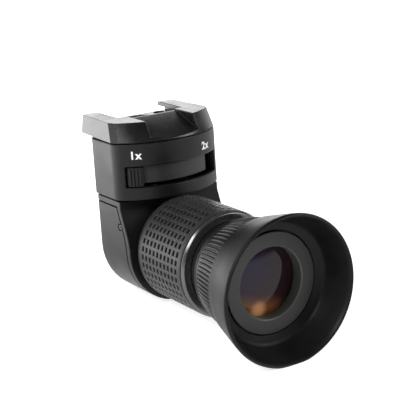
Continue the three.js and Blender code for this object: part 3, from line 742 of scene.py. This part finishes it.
def flute_form():
    """One half-round ridge that follows the cone and sinks into it at its front end."""
    steps_along = 6
    steps_across = 6
    edit = bmesh.new()
    grid = []
    for i in range(steps_along + 1):
        run = i / steps_along
        fade = min(1.0, 4.0 * run, 5.0 * (1 - run) + 0.02)
        line = []
        for k in range(steps_across + 1):
            bend = pi * k / steps_across
            lift = ring_slope * (flute_start + run * flute_length) - 0.15
            line.append(edit.verts.new((flute_width / 2 * cos(bend) * (0.6 + 0.4 * fade),
                                        -flute_start - run * flute_length,
                                        lift + (flute_height + 0.15) * sin(bend) * fade)))
        grid.append(line)
    for i in range(steps_along):
        for k in range(steps_across):
            edit.faces.new((grid[i][k], grid[i][k + 1], grid[i + 1][k + 1], grid[i + 1][k]))
        edit.faces.new((grid[i][0], grid[i + 1][0], grid[i + 1][-1], grid[i][-1]))
    edit.faces.new(grid[0])
    edit.faces.new(grid[-1])
    bmesh.ops.recalc_face_normals(edit, faces=edit.faces)
    mesh = bpy.data.meshes.new("flute")
    edit.to_mesh(mesh)
    edit.free()
    smooth(mesh, 60)
    return mesh


ring_satin = moulded("ring_satin", (0.008, 0.008, 0.0085), 0.36, 0.3, 0.01, Specular_IOR_Level=0.25)
flute_mesh = grown(flute_form(), copies_round_a_ring, Around=flutes, Along=1, First_Angle=0.0,
                   Angle_Step=2 * pi / flutes, Radius=ring_rear_radius, First=ring_rear, Pitch=0.0,
                   Material=ring_satin)
flute_mesh.transform(place)
show("cup_ring_flutes", flute_mesh, ring_satin, "eyecup", "satin_black")
show("cup_ring", turned("cup_ring", [
    (13.3, ring_rear, 0.1), (ring_rear_radius + 0.12, ring_rear, 0.12),
    (ring_rear_radius + 0.22, ring_rear - 0.45, 0.12), (ring_rear_radius + 0.06, ring_rear - 0.75, 0.1),
    (ring_front_radius, ring_front, 0.15), (15.6, -61.9, 0), (15.6, -64.6, 0), (13.3, -64.6, 0)]),
     ring_satin, "eyecup", "satin_black", "eyecup_ring")


# The eyecup: a soft flared rubber cup moulded in one piece, stretched over the ring's front.
# Its lip is rounded over, and it stands a little flattened where it rests on the table.
rim_flat_z = -20.9
cup_rim_radius = 21.6


def rested(point):
    """Flattens the lip where it rests."""
    if point.z < rim_flat_z:
        return Vector((point.x, point.y, rim_flat_z))
    return point


eyecup_rubber = moulded("eyecup_rubber", (0.004, 0.004, 0.0042), 0.46, 0.25, 0.012, dust=0.12,
                        Specular_IOR_Level=0.16)
show("eyecup_cup", turned("eyecup_cup", [
    (17.7, -62.2, 0.3), (18.2, -62.8, 0.5), (19.5, -67.6, 2.0), (20.9, -72.6, 2.0),
    (cup_rim_radius, -75.5, 0.9), (20.9, -76.2, 0.5), (20.2, -75.2, 0.8), (18.9, -70.5, 2.0),
    (17.6, -67.2, 0.9), (14.95, -66.3, 0.2), (14.95, -64.9, 0), (15.9, -64.9, 0), (15.9, -62.2, 0)],
    160, rested), eyecup_rubber, "eyecup", "eyecup_rubber", "eyecup")


# The lens surround: the flat dark gray ring that screws into the barrel and holds the eye lens.
# The wall of its hole is a smooth bevel painted a lighter gray-green, a painted highlight where it catches the
# light.
surround_front = -66.6
surround_hole = 10.35
surround_gray, surround_shader, surround_spot = new_material("surround_gray")
sx, _, sz = parts_of(surround_spot)
surround_radius = (sx * sx + sz * sz).math("SQRT")
face_grain = noise(surround_spot, 0.25, 3.0)
on_wall = 1 - ramped(surround_radius, surround_hole + 0.15, surround_hole + 0.35)
face_colour = blended(face_grain, (0.027, 0.027, 0.028), (0.036, 0.036, 0.037))
# Painted highlight: the hole's wall is painted a lighter gray-green; its lower roughness is real.
feed(surround_shader, "Base Color", blended(on_wall, face_colour, (0.08, 0.085, 0.078)))
feed(surround_shader, "Roughness", 0.62 - 0.2 * on_wall + (face_grain - 0.5) * 0.1)
feed(surround_shader, "Normal", bumped(face_grain, 0.008))
show("surround_ring", turned("surround_ring", [
    (surround_hole, surround_front + 0.3, 0), (surround_hole + 0.3, surround_front, 0.1),
    (14.6, surround_front, 0.25), (14.6, -65.2, 0), (11.0, -65.2, 0), (11.0, -62.7, 0),
    (surround_hole, -62.7, 0)]), surround_gray, "eyepiece", "surround_gray", "lens_surround")


# The lenses: coated ground glass; the purple, blue and amber of their coating's reflections are painted into their
# colour.
# The eye lens is seen in its ring; the front lens looks up out of the mount's window.
# A painted glint: a warm spot that glows low on the lenses and stands for a reflection.
painted_glint_x = -2.4
painted_glint_z = -8.2
painted_glint_reach = (0.6, 3.4)
painted_glint_colour = (0.22, 0.11, 0.055)


def coated_glass(name, shift):
    """Dark glass with painted reflections: its coating's colours are painted across its face, and a painted
    warm glint glows low on it; shift moves the glint and the amber part down."""
    material, shader, spot = new_material(name, Specular_IOR_Level=0.15, IOR=1.6,
                                          Emission_Strength=1.0)
    x, y, z = parts_of(spot)
    swirl = (noise(spot, 9.0, 2.0) - 0.5) * 6.0
    # Painted reflections: violet, red and amber patches are painted into the base colour.
    violet = ramped(z + swirl - x * 0.3, -4.0, 6.0)
    red = ramped(x * 0.9 + swirl, -3.0, 5.0)
    amber = 1 - ramped(z + swirl * 0.5 + x * 0.3, -9.5 - shift, -3.5 - shift)
    colour = blended(violet, (0.030, 0.016, 0.022), (0.022, 0.018, 0.040))
    colour = blended(red, colour, (0.020, 0.009, 0.011))
    colour = blended(amber, colour, (0.22, 0.085, 0.025))
    feed(shader, "Base Color", colour)
    # The painted glint: a warm emission spot.
    across = x - painted_glint_x
    up = z - painted_glint_z + shift
    reach = (across * across + up * up).math("SQRT")
    feed(shader, "Emission Color", blended(ramped(reach, *painted_glint_reach), painted_glint_colour, (0.0, 0.0, 0.0)))
    feed(shader, "Roughness", 0.05 + ramped(noise(spot, 2.0, 4.0), 0.45, 0.8) * 0.12)
    return material


def lens(name, radius, back, front, back_sag, front_sag, upright=False):
    """A lens whose outline runs from the front pole to the back pole."""
    steps = 10
    front_face = [(radius * k / steps, front - front_sag * (1 - (k / steps) ** 2), 0)
                  for k in range(steps + 1)]
    back_face = [(radius * (1 - k / steps), back - back_sag * (1 - (1 - k / steps) ** 2), 0)
                 for k in range(steps + 1)]
    return turned(name, front_face + back_face, 96, upright=upright)


eye_glass = coated_glass("eye_glass", 0.0)
show("eye_glass_lens", lens("eye_glass_lens", 11.0, -59.7, -62.4, 0.0, 1.3), eye_glass,
     "eyepiece", "coated_glass", "eye_lens")
front_glass = coated_glass("front_glass", 20.0)
show("front_glass_lens", lens("front_glass_lens", 5.3, 34.2, 35.6, 0.5, -0.5, upright=True),
     front_glass, "head", "coated_glass", "objective_lens")
show("front_cell", turned("front_cell", [
    (5.6, 33.3, 0), (6.4, 33.3, 0.1), (6.4, 36.5, 0.15), (6.0, 36.5, 0.1), (5.8, 36.2, 0.1),
    (5.6, 36.2, 0.1)], 96, upright=True), dark_anodised, "head", "black_metal", "objective_cell")


# The plain inner pieces keep their CAD shape: cells, sleeves, springs, screws, prism and neck.
# Each has the finish of its own stock: blackened metal, bright steel, brass or glass.
inner_finish = {
    "black_metal": anodised("inner_black", (0.010, 0.010, 0.011), 0.5, 0.01),
    "blackened_screw": blackened_screw,
    "spring_steel": stock("spring_steel", (0.45, 0.45, 0.47), 0.3, 1.0),
    "neck_brass": stock("neck_brass", (0.55, 0.40, 0.16), 0.35, 1.0),
    "coated_glass": front_glass,
}
slot_of = {row["node"]: row["material_slot"] for row in frame["record"]["subparts"]}
for node, solid in frame["nodes"].items():
    if not solid.hide_render:
        solid.data.materials.clear()
        solid.data.materials.append(inner_finish[slot_of[node]])
